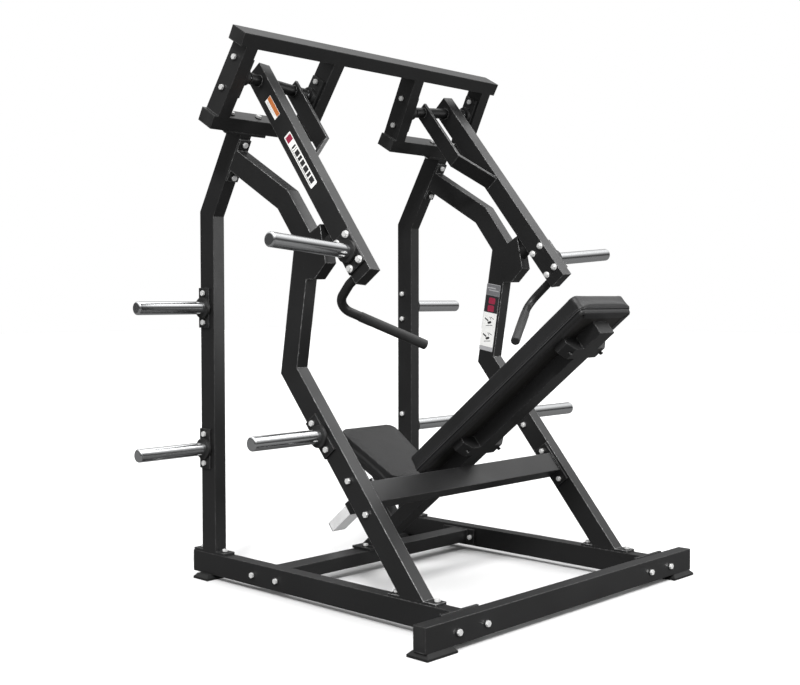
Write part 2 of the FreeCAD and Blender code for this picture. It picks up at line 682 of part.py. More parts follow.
def peg_shape(at, length):
    """A round weight peg, slightly necked at its root and rounded at its end, along +Z."""
    stem = fuse(rod("z", "0", "0", "peg_step", "peg_r", f"{length} - peg_step"),
                rod("z", "0", "0", "0", "peg_root_r", "peg_step + 5"))
    rounded = new("Part::Fillet", "rounded")
    rounded.Base = stem
    doc.recompute()
    top = max(range(len(stem.Shape.Edges)),
              key=lambda row: (stem.Shape.Edges[row].Closed,
                               stem.Shape.Edges[row].CenterOfMass.z))
    rounded.Edges = [(top + 1, 7, 7)]
    return moved(rounded, at)


def collar_shape(at):
    """The ring at a peg's root that keeps a plate off the bolts."""
    ring = cut(rod("z", "0", "0", "0", "collar_r", "collar_len"),
               rod("z", "0", "0", "-5", "peg_root_r + 0.05", "collar_len + 10"))
    return moved(ring, at)


def peg_plate_shape(at, width, length, across, along):
    """A peg's base plate at the tube's face; its bolts stand at across, along."""
    plate = centred_box("0", "0", "peg_plate_x / 2", length, width, "peg_plate_x")
    holes = group(*[rod("z", x, y, "-5", "bolt_hole_r", "peg_plate_x + 10")
                    for x in along for y in across])
    return moved(cut(plate, holes), at)


def loading_pegs():
    face = spot(ARM, "arm_x + tube_w", "0", "-load_peg_at", "+x")
    root = spot(ARM, "arm_x + tube_w + peg_plate_x", "0", "-load_peg_at", "+x")
    both_sides("loading_peg_plate", peg_plate_shape(face, "tube_d", "peg_plate_z - 10",
                                                    ("-25", "25"), ("-54", "54")))
    both_sides("loading_peg", peg_shape(root, "load_peg_len"))
    both_sides("loading_peg_collar", collar_shape(root))


def storage_pegs():
    """Three plate storage pegs on each side: two on the upright and one on the leg."""
    peg_y = "(shin_y - (shin_z - leg_peg_up) / tan(rake))"
    plates = []
    pegs = []
    collars = []
    for y, z, lean in (("upright_y", "peg_high_z", "90"), ("upright_y", "peg_low_z", "90"),
                       (peg_y, "leg_peg_up", "rake")):
        turn = Rotation(Vector(1, 0, 0), value(lean) - 90)
        here = SIDE.multiply(Placement(Vector(0, value(y), value(z)), turn))
        face = spot(here, "tube_w / 2", "peg_back", "0", "+x")
        root = spot(here, "tube_w / 2 + peg_plate_x", "peg_back", "0", "+x")
        plates.append(peg_plate_shape(face, "peg_plate_y", "peg_plate_z", ("0",),
                                      ("-peg_bolt_gap / 2", "peg_bolt_gap / 2")))
        pegs.append(peg_shape(root, "peg_len"))
        collars.append(collar_shape(root))
    for label, pieces in (("storage_peg_plates", plates), ("storage_pegs", pegs),
                          ("storage_peg_collars", collars)):
        finish(label, with_twin(group(*pieces)))


def bar_corners():
    """Corners of the handlebar's centreline in the arm's frame."""
    names = ("bar_root", "bar_knee", "bar_elbow", "bar_end")
    return [Vector(*[value(f"{name}_{axis}") for axis in "xyz"]) for name in names]


def rounded_path(corners, radii):
    """A wire along the corners with an arc of the given radius at each inner one."""
    edges = []
    last = corners[0]
    for before, corner, after, radius in zip(corners, corners[1:], corners[2:], radii):
        inward = (before - corner).normalize()
        outward = (after - corner).normalize()
        half = inward.getAngle(outward) / 2
        reach = radius / math.tan(half)
        start = corner + inward * reach
        stop = corner + outward * reach
        centre = corner + (inward + outward).normalize() * (radius / math.sin(half))
        middle = centre + (corner - centre).normalize() * radius
        edges.append(Part.LineSegment(last, start).toShape())
        edges.append(Part.Arc(start, middle, stop).toShape())
        last = stop
    edges.append(Part.LineSegment(last, corners[-1]).toShape())
    return Part.Wire(edges)


def handle():
    """The bent handlebar, from the arm's back face down and inward."""
    corners = bar_corners()
    spine = new("Part::Feature", "bar_spine")
    spine.Shape = rounded_path(corners, (value("bar_knee_r"), value("bar_elbow_r")))
    section = new("Part::Circle", "bar_section")
    bind(section, Radius="bar_r")
    section.Placement = Placement(corners[0], Rotation(Vector(0, 0, 1), corners[1] - corners[0]))
    bar = new("Part::Sweep", "bar")
    bar.Sections = [section]
    bar.Spine = (spine, [f"Edge{row + 1}" for row in range(len(spine.Shape.Edges))])
    bar.Solid = True
    both_sides("handle", bar, ARM)


def grip():
    """The rubber sleeve with a closed round end on the last straight of the handlebar."""
    corners = bar_corners()
    along = Rotation(Vector(0, 0, 1), corners[-1] - corners[-2])
    sleeve = rod("z", "0", "0", "-grip_len", "grip_r", "grip_len + 8")
    rounded = new("Part::Fillet", "rounded")
    rounded.Base = sleeve
    doc.recompute()
    top = max(range(len(sleeve.Shape.Edges)),
              key=lambda row: (sleeve.Shape.Edges[row].Closed,
                               sleeve.Shape.Edges[row].CenterOfMass.z))
    rounded.Edges = [(top + 1, 6, 6)]
    hollow = rod("z", "0", "0", "-grip_len - 5", "bar_r + 0.05", "grip_len + 5.5")
    both_sides("grip", moved(cut(rounded, hollow), Placement(corners[-1], along)), ARM)


# ---------------------------------------------------------------- bench
SPINE_TOP = "(-pad_thick - board_thick)"
SPINE_LOW = "(-pad_thick - board_thick - spine_d)"
SEAT_DROP = "(seat_foam + seat_board)"


def bench_foot_at(depth):
    """Where a line along the bench, at this height over the pad's face, meets the foot plate."""
    rise = "(cross_z + tube_w + flange)"
    return f"((bench_z + ({depth}) * cos(recline) - {rise}) / sin(recline))"


def bench_frame():
    """Spine, two pad straps, foot plate, riser and the sleeve for the seat post, welded."""
    body = new("PartDesign::Body", "spine")
    outer = [("spine_start", SPINE_TOP), (bench_foot_at(SPINE_TOP), SPINE_TOP),
             (bench_foot_at(SPINE_LOW), SPINE_LOW), ("spine_start", SPINE_LOW)]
    inner_top = f"({SPINE_TOP} - wall)"
    inner_low = f"({SPINE_LOW} + wall)"
    inner = [("spine_start", inner_top), (bench_foot_at(inner_top), inner_top),
             (bench_foot_at(inner_low), inner_low), ("spine_start", inner_low)]
    pad(body, "YZ_Plane", outer, "spine_w")
    pocket(body, "YZ_Plane", inner, "spine_w - 2 * wall")
    parts = [body]
    for at in ("strap_one", "strap_two"):
        parts.append(strap(at))
    plate = box("-82", "cross_y - 50", "cross_z + tube_w", "164", "100",
                "flange")
    parts.append(moved(plate, BENCH.inverse()))
    sleeve_low = "(post_axis - spine_d / 2)"
    parts.append(tube("y", "-spine_w / 2", "sleeve_start", sleeve_low, "spine_w",
                      "sleeve_end - sleeve_start", "spine_d"))
    parts.append(tube("z", "-tube_w / 2", "riser_at - tube_d / 2", f"{SPINE_TOP} - weld",
                      "tube_w", "tube_d", f"{sleeve_low} - {SPINE_TOP} + 2 * weld"))
    foot_holes = moved(group(*[rod("z", x, "cross_y", "cross_z + tube_w - 5",
                                   "bolt_hole_r", "flange + 10") for x in ("-58", "58")]),
                       BENCH.inverse())
    strap_holes = group(*[rod("z", f"{side} * strap_hole_x", f"{at}", f"{SPINE_LOW} - 5",
                              "small_bolt_r + 0.6", "spine_d + 10")
                          for side in (-1, 1) for at in ("strap_one", "strap_two")])
    pin_hole = rod("x", "-spine_w / 2 - 5", "pin_at", "post_axis", "pin_r + 0.05",
                   "wall + 10")
    finish("bench_frame", cut(fuse(*parts), foot_holes, strap_holes, pin_hole), BENCH)


def strap(at):
    """A cross strap under the backrest board: a square tube with slanted ends."""
    body = new("PartDesign::Body", "strap")
    low = SPINE_LOW
    top = SPINE_TOP
    outline = [("strap_half", top), ("strap_half", f"{top} - 22"),
               ("strap_half - 30", low), ("-strap_half + 30", low),
               ("-strap_half", f"{top} - 22"), ("-strap_half", top)]
    pad(body, "XZ_Plane", outline, "strap_len")
    return moved(body, Placement(Vector(0, value(at), 0), Rotation()))


def bench_tie_tube():
    """The tube between the two front legs that the spine lies on, with its end flanges."""
    span = "(2 * side_x - tube_w)"
    top = SPINE_LOW
    beam = tube("x", f"-{span} / 2 + flange - weld", "bench_tube_at - tube_w / 2",
                f"{top} - tube_d", f"{span} - 2 * flange + 2 * weld", "tube_w", "tube_d")
    plates = [centred_box(f"{side} * ({span} / 2 - flange / 2)", "bench_tube_at",
                          f"{top} - tube_d / 2", "flange", "tube_w + 12", "170")
              for side in (-1, 1)]
    holes = group(*[rod("x", f"{side} * {span} / 2 - 20", "bench_tube_at",
                        f"{top} - tube_d / 2 + {step}", "bolt_hole_r", "40")
                    for side in (-1, 1) for step in ("66", "-66")])
    finish("bench_tie_tube", cut(fuse(beam, *plates), holes), BENCH)


def backrest():
    """Plywood board with the foam pad on it; the pad is a plain solid with rounded corners."""
    board = centred_box("0", "pad_len / 2", "-pad_thick - board_thick / 2", "pad_w - 12",
                        "pad_len - 12", "board_thick")
    screw_holes = group(*[rod("z", f"{side} * strap_hole_x", at, f"{SPINE_TOP} - 1",
                              "small_bolt_r + 0.05", "board_thick - 1")
                          for side in (-1, 1) for at in ("strap_one", "strap_two")])
    finish("backrest_board", cut(board, screw_holes), BENCH)
    foam = box("-pad_w / 2", "-pad_over", "-pad_thick", "pad_w", "pad_len + pad_over + pad_low",
               "pad_thick")
    rounded = round_upright_edges(foam, 22)
    finish("backrest_pad", rounded, BENCH)
    screws = [small_bolt(f"{side} * strap_hole_x", at, SPINE_LOW, "spine_d + board_thick - 4")
              for side in (-1, 1) for at in ("strap_one", "strap_two")]
    finish("backrest_bolts", group(*screws), BENCH)


def round_upright_edges(base, radius):
    """Round the edges that run along the local Z of a plain solid."""
    rounded = new("Part::Fillet", "rounded")
    rounded.Base = base
    doc.recompute()
    rows = []
    for row, edge in enumerate(base.Shape.Edges, start=1):
        first, last = [vertex.Point for vertex in edge.Vertexes]
        if abs(first.x - last.x) + abs(first.y - last.y) < 0.01:
            rows.append((row, radius, radius))
    rounded.Edges = rows
    return rounded


def small_bolt(x, y, z, length):
    """A pan-head bolt screwed upward, its head under z."""
    return fuse(rod("z", x, y, f"{z} - 5", "small_head_r", "5"),
                rod("z", x, y, z, "small_bolt_r", length))


# ---------------------------------------------------------------- seat
def seat_bushing():
    """Nylon liner between the sleeve and the sliding post."""
    block = centred_box("0", "(sleeve_start + sleeve_end) / 2", "post_axis",
                        "spine_w - 2 * wall", "sleeve_end - sleeve_start", "spine_d - 2 * wall")
    bore = centred_box("0", "(sleeve_start + sleeve_end) / 2", "post_axis",
                       "seat_post_w + 0.1", "sleeve_end - sleeve_start + 10",
                       "seat_post_d + 0.1")
    pin_hole = rod("x", "-spine_w / 2", "pin_at", "post_axis", "pin_r + 0.05", "wall + 8")
    finish("seat_bushing", cut(block, bore, pin_hole), BENCH)


def seat_post():
    """Chromed rectangular tube with a row of pin holes in one side."""
    post = tube("y", "-seat_post_w / 2", "seat_post_start", "post_axis - seat_post_d / 2",
                "seat_post_w", "seat_post_end - seat_post_start", "seat_post_d")
    holes = group(*[rod("x", "-seat_post_w / 2 - 5", f"pin_at + {step} * pin_pitch",
                        "post_axis", "pin_r + 0.05", "wall + 7") for step in range(4)])
    cap = centred_box("0", "seat_post_end + 2", "post_axis", "seat_post_w - 1",
                      "4", "seat_post_d - 1")
    finish("seat_post", cut(post, holes), BENCH)
    finish("seat_post_cap", cap, BENCH)


def seat_bracket():
    """Plate under the seat's board and two webs welded to the sides of the sliding post."""
    plate = box("-75", "bracket_start", f"-{SEAT_DROP} - 6", "150", "bracket_len", "6")
    webs = []
    for x in ("-seat_post_w / 2 - 3", "seat_post_w / 2 + 3"):
        web = new("PartDesign::Body", "web")
        pad(web, "YZ_Plane", [("bracket_start", f"-{SEAT_DROP} - 5"),
                              ("bracket_start + bracket_len", f"-{SEAT_DROP} - 5"),
                              ("web_front_y", "web_front_z"), ("web_back_y", "web_back_z")], "6")
        webs.append(moved(web, Placement(Vector(value(x), 0, 0), Rotation())))
    holes = group(*[rod("z", f"{side} * 55", f"bracket_start + {along}", f"-{SEAT_DROP} - 20",
                        "small_bolt_r + 0.6", "30") for side in (-1, 1) for along in ("25", "180")])
    finish("seat_bracket", cut(fuse(plate, *webs), holes), SEAT)
    screws = [small_bolt(f"{side} * 55", f"bracket_start + {along}", f"-{SEAT_DROP} - 6",
                         "seat_board + 4")
              for side in (-1, 1) for along in ("25", "180")]
    finish("seat_bolts", group(*screws), SEAT)


def seat_outline(inset):
    """The seat seen from above: narrower toward the backrest."""
    return [(f"-seat_back_half + {inset}", f"{inset}"), (f"seat_back_half - {inset}", f"{inset}"),
            (f"seat_front_half - {inset}", f"seat_len - {inset}"),
            (f"-seat_front_half + {inset}", f"seat_len - {inset}")]


def seat():
    """Plywood board and foam pad of the seat."""
    screw_holes = group(*[rod("z", f"{side} * 55", f"bracket_start + {along}",
                              f"-{SEAT_DROP} - 1", "small_bolt_r + 0.05", "seat_board - 1")
                          for side in (-1, 1) for along in ("25", "180")])
    for label, low, thick, inset in (("seat_board", f"-{SEAT_DROP}", "seat_board", 7),
                                     ("seat_pad", "-seat_foam", "seat_foam", 0)):
        body = new("PartDesign::Body", label)
        pad(body, "XY_Plane", seat_outline(inset), thick)
        slab = moved(body, Placement(Vector(0, 0, value(f"{low} + ({thick}) / 2")), Rotation()))
        rounded = round_upright_edges(slab, value("seat_corner_r") - inset)
        if label == "seat_board":
            rounded = cut(rounded, screw_holes)
        finish(label, rounded, SEAT)


def pull_pin():
    """Housing on the sleeve's left side, and the spring pin with its knob, drawn out."""
    housing = cut(rod("x", "-spine_w / 2 - pin_housing", "pin_at", "post_axis", "12",
                      "pin_housing"),
                  rod("x", "-spine_w / 2 - pin_housing - 5", "pin_at", "post_axis",
                      "pin_r + 0.05", "pin_housing + 10"))
    finish("pin_housing", housing, BENCH)
    tip = "(-seat_post_w / 2 - 0.6)"
    pin = rod("x", f"{tip} - pin_len", "pin_at", "post_axis", "pin_r", "pin_len")
    finish("pull_pin", pin, BENCH)
    knob = cut(rod("x", f"{tip} - pin_len - 8", "pin_at", "post_axis", "pin_knob_r", "22"),
               rod("x", f"{tip} - pin_len", "pin_at", "post_axis", "pin_r", "30"))
    finish("pull_pin_knob", knob, BENCH)


# ---------------------------------------------------------------- fasteners and output
def frame_fasteners():
    """All through bolts of the frame, with their washers and nuts; the arms have their own."""
    for label, make in (("frame_bolts", one_bolt), ("frame_washers", one_washer_pair),
                        ("frame_nuts", one_nut)):
        sides = with_twin(group(*[make(place, grip) for place, grip in right_bolts]))
        middle = [make(place, grip) for place, grip in middle_bolts]
        finish(label, group(sides, *middle))
    both_sides("arm_bolts", group(*[one_bolt(*bolt) for bolt in arm_bolts]))
    both_sides("arm_nuts", group(*[make(*bolt) for bolt in arm_bolts
                                   for make in (one_washer_pair, one_nut)]))


def check_and_write():
    doc.recompute()
    for obj in doc.Objects:
        if "Invalid" in obj.State or "Error" in obj.State:
            raise RuntimeError(f"{obj.Name} ({obj.Label}) failed: {obj.State}")
    for label, obj in finished.items():
        if obj.Shape.isNull() or not obj.Shape.isValid():
            raise RuntimeError(f"{label} has no valid shape")
    os.makedirs("parts", exist_ok=True)
    for label, obj in finished.items():
        obj.Shape.exportStep(os.path.join("parts", f"{label}.step"))


for build in (base_frame, rubber_feet, rear_upright, front_leg, stop_bumpers, head_frame,
              bearing_housings, bearing_rings, pivot_shaft, press_arm, arm_end_caps,
              loading_pegs, storage_pegs, handle, grip, bench_frame, bench_tie_tube, backrest,
              tube_end_caps, seat_bushing, seat_post, seat_bracket, seat, pull_pin,
              frame_fasteners):
    build()
check_and_write()
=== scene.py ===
import json
import math

import bmesh
import bpy
from mathutils import Matrix, Vector
from mathutils.bvhtree import BVHTree

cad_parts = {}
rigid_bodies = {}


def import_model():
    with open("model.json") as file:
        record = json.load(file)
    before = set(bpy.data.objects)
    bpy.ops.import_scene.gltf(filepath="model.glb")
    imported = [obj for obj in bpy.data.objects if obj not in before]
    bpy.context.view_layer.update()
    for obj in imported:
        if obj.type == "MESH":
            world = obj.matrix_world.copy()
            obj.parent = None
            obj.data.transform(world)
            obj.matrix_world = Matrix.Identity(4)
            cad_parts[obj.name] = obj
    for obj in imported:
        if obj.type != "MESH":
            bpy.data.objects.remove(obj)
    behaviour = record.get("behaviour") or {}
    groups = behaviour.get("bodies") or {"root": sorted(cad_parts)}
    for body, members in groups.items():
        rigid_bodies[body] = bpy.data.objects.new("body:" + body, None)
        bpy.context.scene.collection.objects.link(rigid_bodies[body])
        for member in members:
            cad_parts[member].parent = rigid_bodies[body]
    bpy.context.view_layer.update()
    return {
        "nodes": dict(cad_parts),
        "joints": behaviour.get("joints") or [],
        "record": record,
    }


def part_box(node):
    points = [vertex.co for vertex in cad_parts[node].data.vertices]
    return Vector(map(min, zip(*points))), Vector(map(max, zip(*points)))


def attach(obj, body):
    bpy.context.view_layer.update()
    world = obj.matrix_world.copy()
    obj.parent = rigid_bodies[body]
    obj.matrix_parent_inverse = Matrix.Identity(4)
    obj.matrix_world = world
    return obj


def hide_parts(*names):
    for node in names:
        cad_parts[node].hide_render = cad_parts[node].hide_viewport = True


MM = 0.001
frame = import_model()
nodes = frame["nodes"]
joints = {joint["name"]: joint for joint in frame["joints"]}
scene = bpy.context.scene


# ---------------------------------------------------------------- directions of the machine
HEAD_TILT = math.radians(30)
SPLAY = math.radians(5.2)
ARM_SWING = math.radians(68.3)
SEAT_TILT = math.radians(31)


def turn(angle, axis):
    return Matrix.Rotation(angle, 4, axis)


def direction_frame(origin, x_axis, y_axis):
    """A frame with these two directions, as a 4x4 matrix."""
    z_axis = x_axis.cross(y_axis)
    rows = Matrix((x_axis, y_axis, z_axis)).transposed().to_4x4()
    return Matrix.Translation(origin) @ rows


def middle(node):
    low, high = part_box(node)
    return (low + high) / 2


PIVOT = Matrix.Translation(Vector(joints["right_arm_press"]["pos_m"]))
ARM = PIVOT @ turn(HEAD_TILT, "X") @ turn(-SPLAY, "Y") @ turn(-ARM_SWING, "X")
down_the_bench = -Vector(joints["seat_slide"]["axis"])
BENCH = direction_frame(middle("backrest_pad"), Vector((1, 0, 0)), down_the_bench)
SEAT = Matrix.Translation(middle("seat_pad")) @ turn(SEAT_TILT, "X")
MIRROR = Matrix.Diagonal((-1, 1, 1, 1))


# ---------------------------------------------------------------- materials
class Shader:
    """A material under construction, with short calls for its nodes."""

    def __init__(self, name):
        self.material = bpy.data.materials.new(name)
        self.material.use_nodes = True
        self.tree = self.material.node_tree
        self.surface = self.tree.nodes["Principled BSDF"]

    def node(self, kind, **inputs):
        made = self.tree.nodes.new(kind)
        for key, value in inputs.items():
            self.feed(made, key.replace("_", " "), value)
        return made

    def feed(self, made, key, value):
        if isinstance(value, bpy.types.NodeSocket):
            self.tree.links.new(value, made.inputs[key])
        else:
            made.inputs[key].default_value = value

    def place(self, stretch=(1, 1, 1)):
        """Position on the object in metres, stretched per axis."""
        source = self.node("ShaderNodeTexCoord").outputs["Object"]
        return self.node("ShaderNodeMapping", Vector=source, Scale=stretch).outputs["Vector"]

    def noise(self, scale, detail=2.0, stretch=(1, 1, 1), rough=0.5):
        made = self.node("ShaderNodeTexNoise", Vector=self.place(stretch), Scale=scale,
                         Detail=detail, Roughness=rough)
        return made.outputs["Fac"]

    def cells(self, scale, feature="F1"):
        made = self.node("ShaderNodeTexVoronoi", Vector=self.place(), Scale=scale)
        made.feature = feature
        return made.outputs["Distance"]

    def span(self, value, low, high, new_low, new_high):
        made = self.node("ShaderNodeMapRange", Value=value)
        for key, number in (("From Min", low), ("From Max", high),
                            ("To Min", new_low), ("To Max", new_high)):
            made.inputs[key].default_value = number
        return made.outputs["Result"]

    def math(self, operation, first, second=0.0):
        made = self.tree.nodes.new("ShaderNodeMath")
        made.operation = operation
        for slot, value in enumerate((first, second)):
            self.feed(made, slot, value)
        return made.outputs[0]

    def mix(self, share, first, second):
        made = self.tree.nodes.new("ShaderNodeMix")
        made.data_type = "RGBA"
        self.feed(made, "Factor", share)
        for slot, value in ((6, first), (7, second)):
            self.feed(made, slot, value if isinstance(value, bpy.types.NodeSocket)
                      else (*value, 1))
        return made.outputs[2]

    def bump(self, height, depth, normal=None, strength=1.0):
        made = self.node("ShaderNodeBump", Height=height, Distance=depth, Strength=strength)
        if normal is not None:
            self.feed(made, "Normal", normal)
        return made.outputs["Normal"]

    def soft_edges(self, radius):
        """Normals that round the part's sharp edges, and how near an edge a point is."""
        rounded = self.tree.nodes.new("ShaderNodeBevel")
        rounded.samples = 4
        rounded.inputs["Radius"].default_value = radius
        flat = self.node("ShaderNodeNewGeometry").outputs["Normal"]
        dot = self.tree.nodes.new("ShaderNodeVectorMath")
        dot.operation = "DOT_PRODUCT"
        self.feed(dot, 0, rounded.outputs["Normal"])
        self.feed(dot, 1, flat)
        near = self.span(dot.outputs["Value"], 0.99, 0.86, 0.0, 1.0)
        return rounded.outputs["Normal"], near

    def finish(self, **inputs):
        for key, value in inputs.items():
            key = key.replace("_", " ")
            if isinstance(value, tuple) and len(value) == 3:
                value = (*value, 1)
            self.feed(self.surface, key, value)
        return self.material


def powder_coat(name, tone=0.012, edge_wear_and_highlight=0.12, roughness=0.38):
    """Satin powder coat: orange-peel texture, slight tone drift, and paler edges that are partly
    rubbed wear and partly a painted highlight.
    """
    s = Shader(name)
    edge_normal, edge = s.soft_edges(4.5 * MM)
    drift = s.noise(5, 3)
    grain = s.noise(620, 2)
    peel = s.noise(160, 1)
    breakup = s.span(s.noise(70, 4), 0.45, 0.62, 0.0, 1.0)
    # Edge mask for the pale edges: rubbed wear, and where the pale colour is raised, a painted
    # highlight along the edges.
    wear_and_highlight_mask = s.math("MULTIPLY", edge, s.span(breakup, 0, 1, 0.25, 0.85))
    body = s.mix(drift, [tone * 0.82] * 3, [tone * 1.2, tone * 1.2, tone * 1.24])
    body = s.mix(s.span(grain, 0.4, 0.65, 0.0, 0.35), body, [tone * 1.7] * 3)
    colour = s.mix(wear_and_highlight_mask, body, [edge_wear_and_highlight] * 3)
    relief = s.math("ADD", s.math("MULTIPLY", grain, 0.6), peel)
    rough = s.math("ADD", s.span(drift, 0.3, 0.7, roughness - 0.05, roughness + 0.05),
                   s.math("MULTIPLY", grain, 0.06))
    return s.finish(Base_Color=colour, Roughness=rough,
                    Normal=s.bump(relief, 0.12 * MM, edge_normal, 0.6))


def chrome(name, colour, roughness):
    """Polished plate with faint smudges where weights and hands have been."""
    s = Shader(name)
    smudge = s.noise(9, 2)
    tint = s.mix(s.span(smudge, 0.35, 0.7, 0.0, 0.3), colour, [c * 0.92 for c in colour])
    rough = s.span(smudge, 0.3, 0.7, roughness, roughness * 1.25)
    return s.finish(Base_Color=tint, Metallic=1.0, Roughness=rough)


def steel(name, colour, roughness, metallic, painted_glow=0.0):
    """Plated or ground steel with a fine brushed grain and edges painted darker, a painted
    shade.

    The painted glow is a faint light of its own that keeps bright plating pale where lamps miss
    it.
    """
    s = Shader(name)
    edge_normal, edge = s.soft_edges(0.7 * MM)
    grain = s.noise(420, 3, (1, 1, 6))
    cloud = s.noise(60, 3)
    tint = s.mix(s.span(cloud, 0.35, 0.7, 0.0, 0.6), colour, [c * 0.8 for c in colour])
    # Edges painted darker: painted shade round the rims of the heads.
    tint = s.mix(s.math("MULTIPLY", edge, 0.4), tint, [c * 0.7 for c in colour])
    rough = s.span(grain, 0.3, 0.7, roughness - 0.06, roughness + 0.1)
    return s.finish(Base_Color=tint, Metallic=metallic, Roughness=rough,
                    Emission_Color=tint, Emission_Strength=painted_glow,
                    Normal=s.bump(grain, 0.04 * MM, edge_normal, 0.6))


def moulded(name, tone, roughness, grain_scale, depth, sheen=0.0):
    """Rubber or nylon: matt, with a fine spark-eroded texture and dusty variation."""
    s = Shader(name)
    edge_normal, edge = s.soft_edges(1.2 * MM)
    grain = s.noise(grain_scale, 3)
    dust = s.noise(18, 4)
    tint = s.mix(s.span(dust, 0.4, 0.75, 0.0, 0.5), [tone] * 3, [tone * 1.9] * 3)
    # Edges painted lighter: a painted highlight.
    tint = s.mix(s.math("MULTIPLY", edge, 0.35), tint, [tone * 2.6] * 3)
    rough = s.span(dust, 0.3, 0.7, roughness - 0.06, roughness + 0.08)
    return s.finish(Base_Color=tint, Roughness=rough, Sheen_Weight=sheen,
                    Normal=s.bump(grain, depth, edge_normal, 0.8))


def vinyl(name, tone=0.017, shine=0.4):
    """Upholstery vinyl: pebbled grain, finer creases between the pebbles, soft sheen."""
    s = Shader(name)
    pebble = s.cells(620)
    crease = s.cells(260, "DISTANCE_TO_EDGE")
    sag = s.noise(16, 3)
    drift = s.noise(7, 3)
    tint = s.mix(drift, [tone * 0.8] * 3, [tone * 1.25, tone * 1.25, tone * 1.3])
    # Creases painted darker: painted shade between the pebbles.
    tint = s.mix(s.span(crease, 0.0, 0.12, 0.5, 0.0), tint, [tone * 0.45] * 3)
    rough = s.math("ADD", s.span(drift, 0.3, 0.7, shine - 0.04, shine + 0.06),
                   s.math("MULTIPLY", pebble, 0.1))
    relief = s.math("ADD", s.math("MULTIPLY", pebble, -0.5),
                    s.span(crease, 0.0, 0.2, 0.0, 0.5))
    normal = s.bump(sag, 1.6 * MM, strength=0.35)
    return s.finish(Base_Color=tint, Roughness=rough, Specular_IOR_Level=0.36,
                    Sheen_Weight=0.1, Sheen_Roughness=0.4,
                    Normal=s.bump(relief, 0.1 * MM, normal, 0.7))


def stained_board(name):
    """Plywood stained black: long grain along the bench and a few open pores."""
    s = Shader(name)
    grain = s.noise(1, 6, (160, 9, 9), 0.65)
    pores = s.noise(1, 4, (700, 40, 40), 0.6)
    tint = s.mix(s.span(grain, 0.35, 0.7, 0.0, 1.0), (0.014, 0.013, 0.012),
                 (0.036, 0.033, 0.03))
    rough = s.span(pores, 0.3, 0.7, 0.5, 0.68)
    return s.finish(Base_Color=tint, Roughness=rough, Normal=s.bump(pores, 0.12 * MM))


def printed(name, colour, painted_glow=0.0):
    """Printed film: even ink with a little mottling; the painted glow makes the white stock
    shine with a light of its own.
    """
    s = Shader(name)
    mottle = s.noise(240, 3)
    scuff = s.noise(34, 4)
    tint = s.mix(s.span(mottle, 0.35, 0.7, 0.0, 1.0), colour, [c * 0.9 for c in colour])
    rough = s.span(scuff, 0.35, 0.7, 0.3, 0.5)
    return s.finish(Base_Color=tint, Roughness=rough, Normal=s.bump(mottle, 0.03 * MM),
                    Emission_Color=colour, Emission_Strength=painted_glow)


def thread(name):
    """Twisted sewing thread, seen as a fine slanted ridge."""
    s = Shader(name)
    twist = s.noise(900, 2, (1, 2, 1))
    tint = s.mix(twist, (0.03, 0.03, 0.031), (0.09, 0.09, 0.092))
    return s.finish(Base_Color=tint, Roughness=0.7, Normal=s.bump(twist, 0.15 * MM))


COAT = powder_coat("powder_coat")
# Edges painted much paler: a painted highlight along the edges of the arms and front legs, as
# well as wear.
RUBBED_AND_EDGE_HIGHLIT_COAT = powder_coat("rubbed_and_edge_highlit_powder_coat", edge_wear_and_highlight=0.6)
CAST = powder_coat("cast_housing", 0.018, 0.06, 0.55)
BLACK_OXIDE = powder_coat("black_oxide", 0.012, 0.05, 0.4)
CHROME = chrome("chrome", (0.86, 0.87, 0.88), 0.14)
# The seat post and the plated bolts glow a little: painted light that keeps the plating pale.
POST_ZINC = steel("post_zinc", (0.97, 0.97, 0.97), 0.3, 0.05, painted_glow=0.25)
ZINC = steel("zinc_plate", (0.95, 0.95, 0.94), 0.3, 0.45, painted_glow=0.08)
GROUND = steel("ground_steel", (0.5, 0.5, 0.51), 0.25, 1.0)
RUBBER = moulded("rubber", 0.005, 0.7, 380, 0.25 * MM)
GRIP_RUBBER = moulded("grip_rubber", 0.016, 0.55, 300, 0.3 * MM, 0.1)
NYLON = moulded("nylon", 0.015, 0.48, 700, 0.08 * MM)
VINYL = vinyl("vinyl")
# Paler vinyl for the seam piping: a painted highlight along the pads' lower edges.
PAINTED_HIGHLIGHT_PIPING = vinyl("piping_painted_highlight", 0.05, 0.25)
BOARD = stained_board("stained_board")
THREAD = thread("thread")
# The white film glows a little: painted light that keeps it bright.
WHITE_FILM = printed("white_film", (0.95, 0.95, 0.93), painted_glow=0.12)
GREY_FILM = printed("grey_film", (0.2, 0.2, 0.21))
PALE_FILM = printed("pale_film", (0.5, 0.5, 0.51))
DARK_FILM = printed("dark_film", (0.03, 0.03, 0.032))
RED_FILM = printed("red_film", (0.36, 0.03, 0.07))
ORANGE_FILM = printed("orange_film", (0.62, 0.2, 0.06))

FINISHES = {
    "black_powder_coat": COAT, "vinyl": VINYL, "plywood": BOARD, "rubber": RUBBER,
    "black_plastic": NYLON, "chrome": CHROME, "zinc_steel": ZINC, "black_steel": BLACK_OXIDE,
    "cast_iron": CAST, "ground_steel": GROUND,
}
ODD_FINISHES = {
    "seat_post": POST_ZINC, "left_grip": GRIP_RUBBER, "right_grip": GRIP_RUBBER,
    "backrest_bolts": BLACK_OXIDE,
    "left_pivot_shaft": BLACK_OXIDE, "right_pivot_shaft": BLACK_OXIDE,
    # The arms and front legs take the coat whose edges carry a painted highlight.
    "left_press_arm": RUBBED_AND_EDGE_HIGHLIT_COAT, "right_press_arm": RUBBED_AND_EDGE_HIGHLIT_COAT,
    "left_front_leg": RUBBED_AND_EDGE_HIGHLIT_COAT, "right_front_leg": RUBBED_AND_EDGE_HIGHLIT_COAT,
}


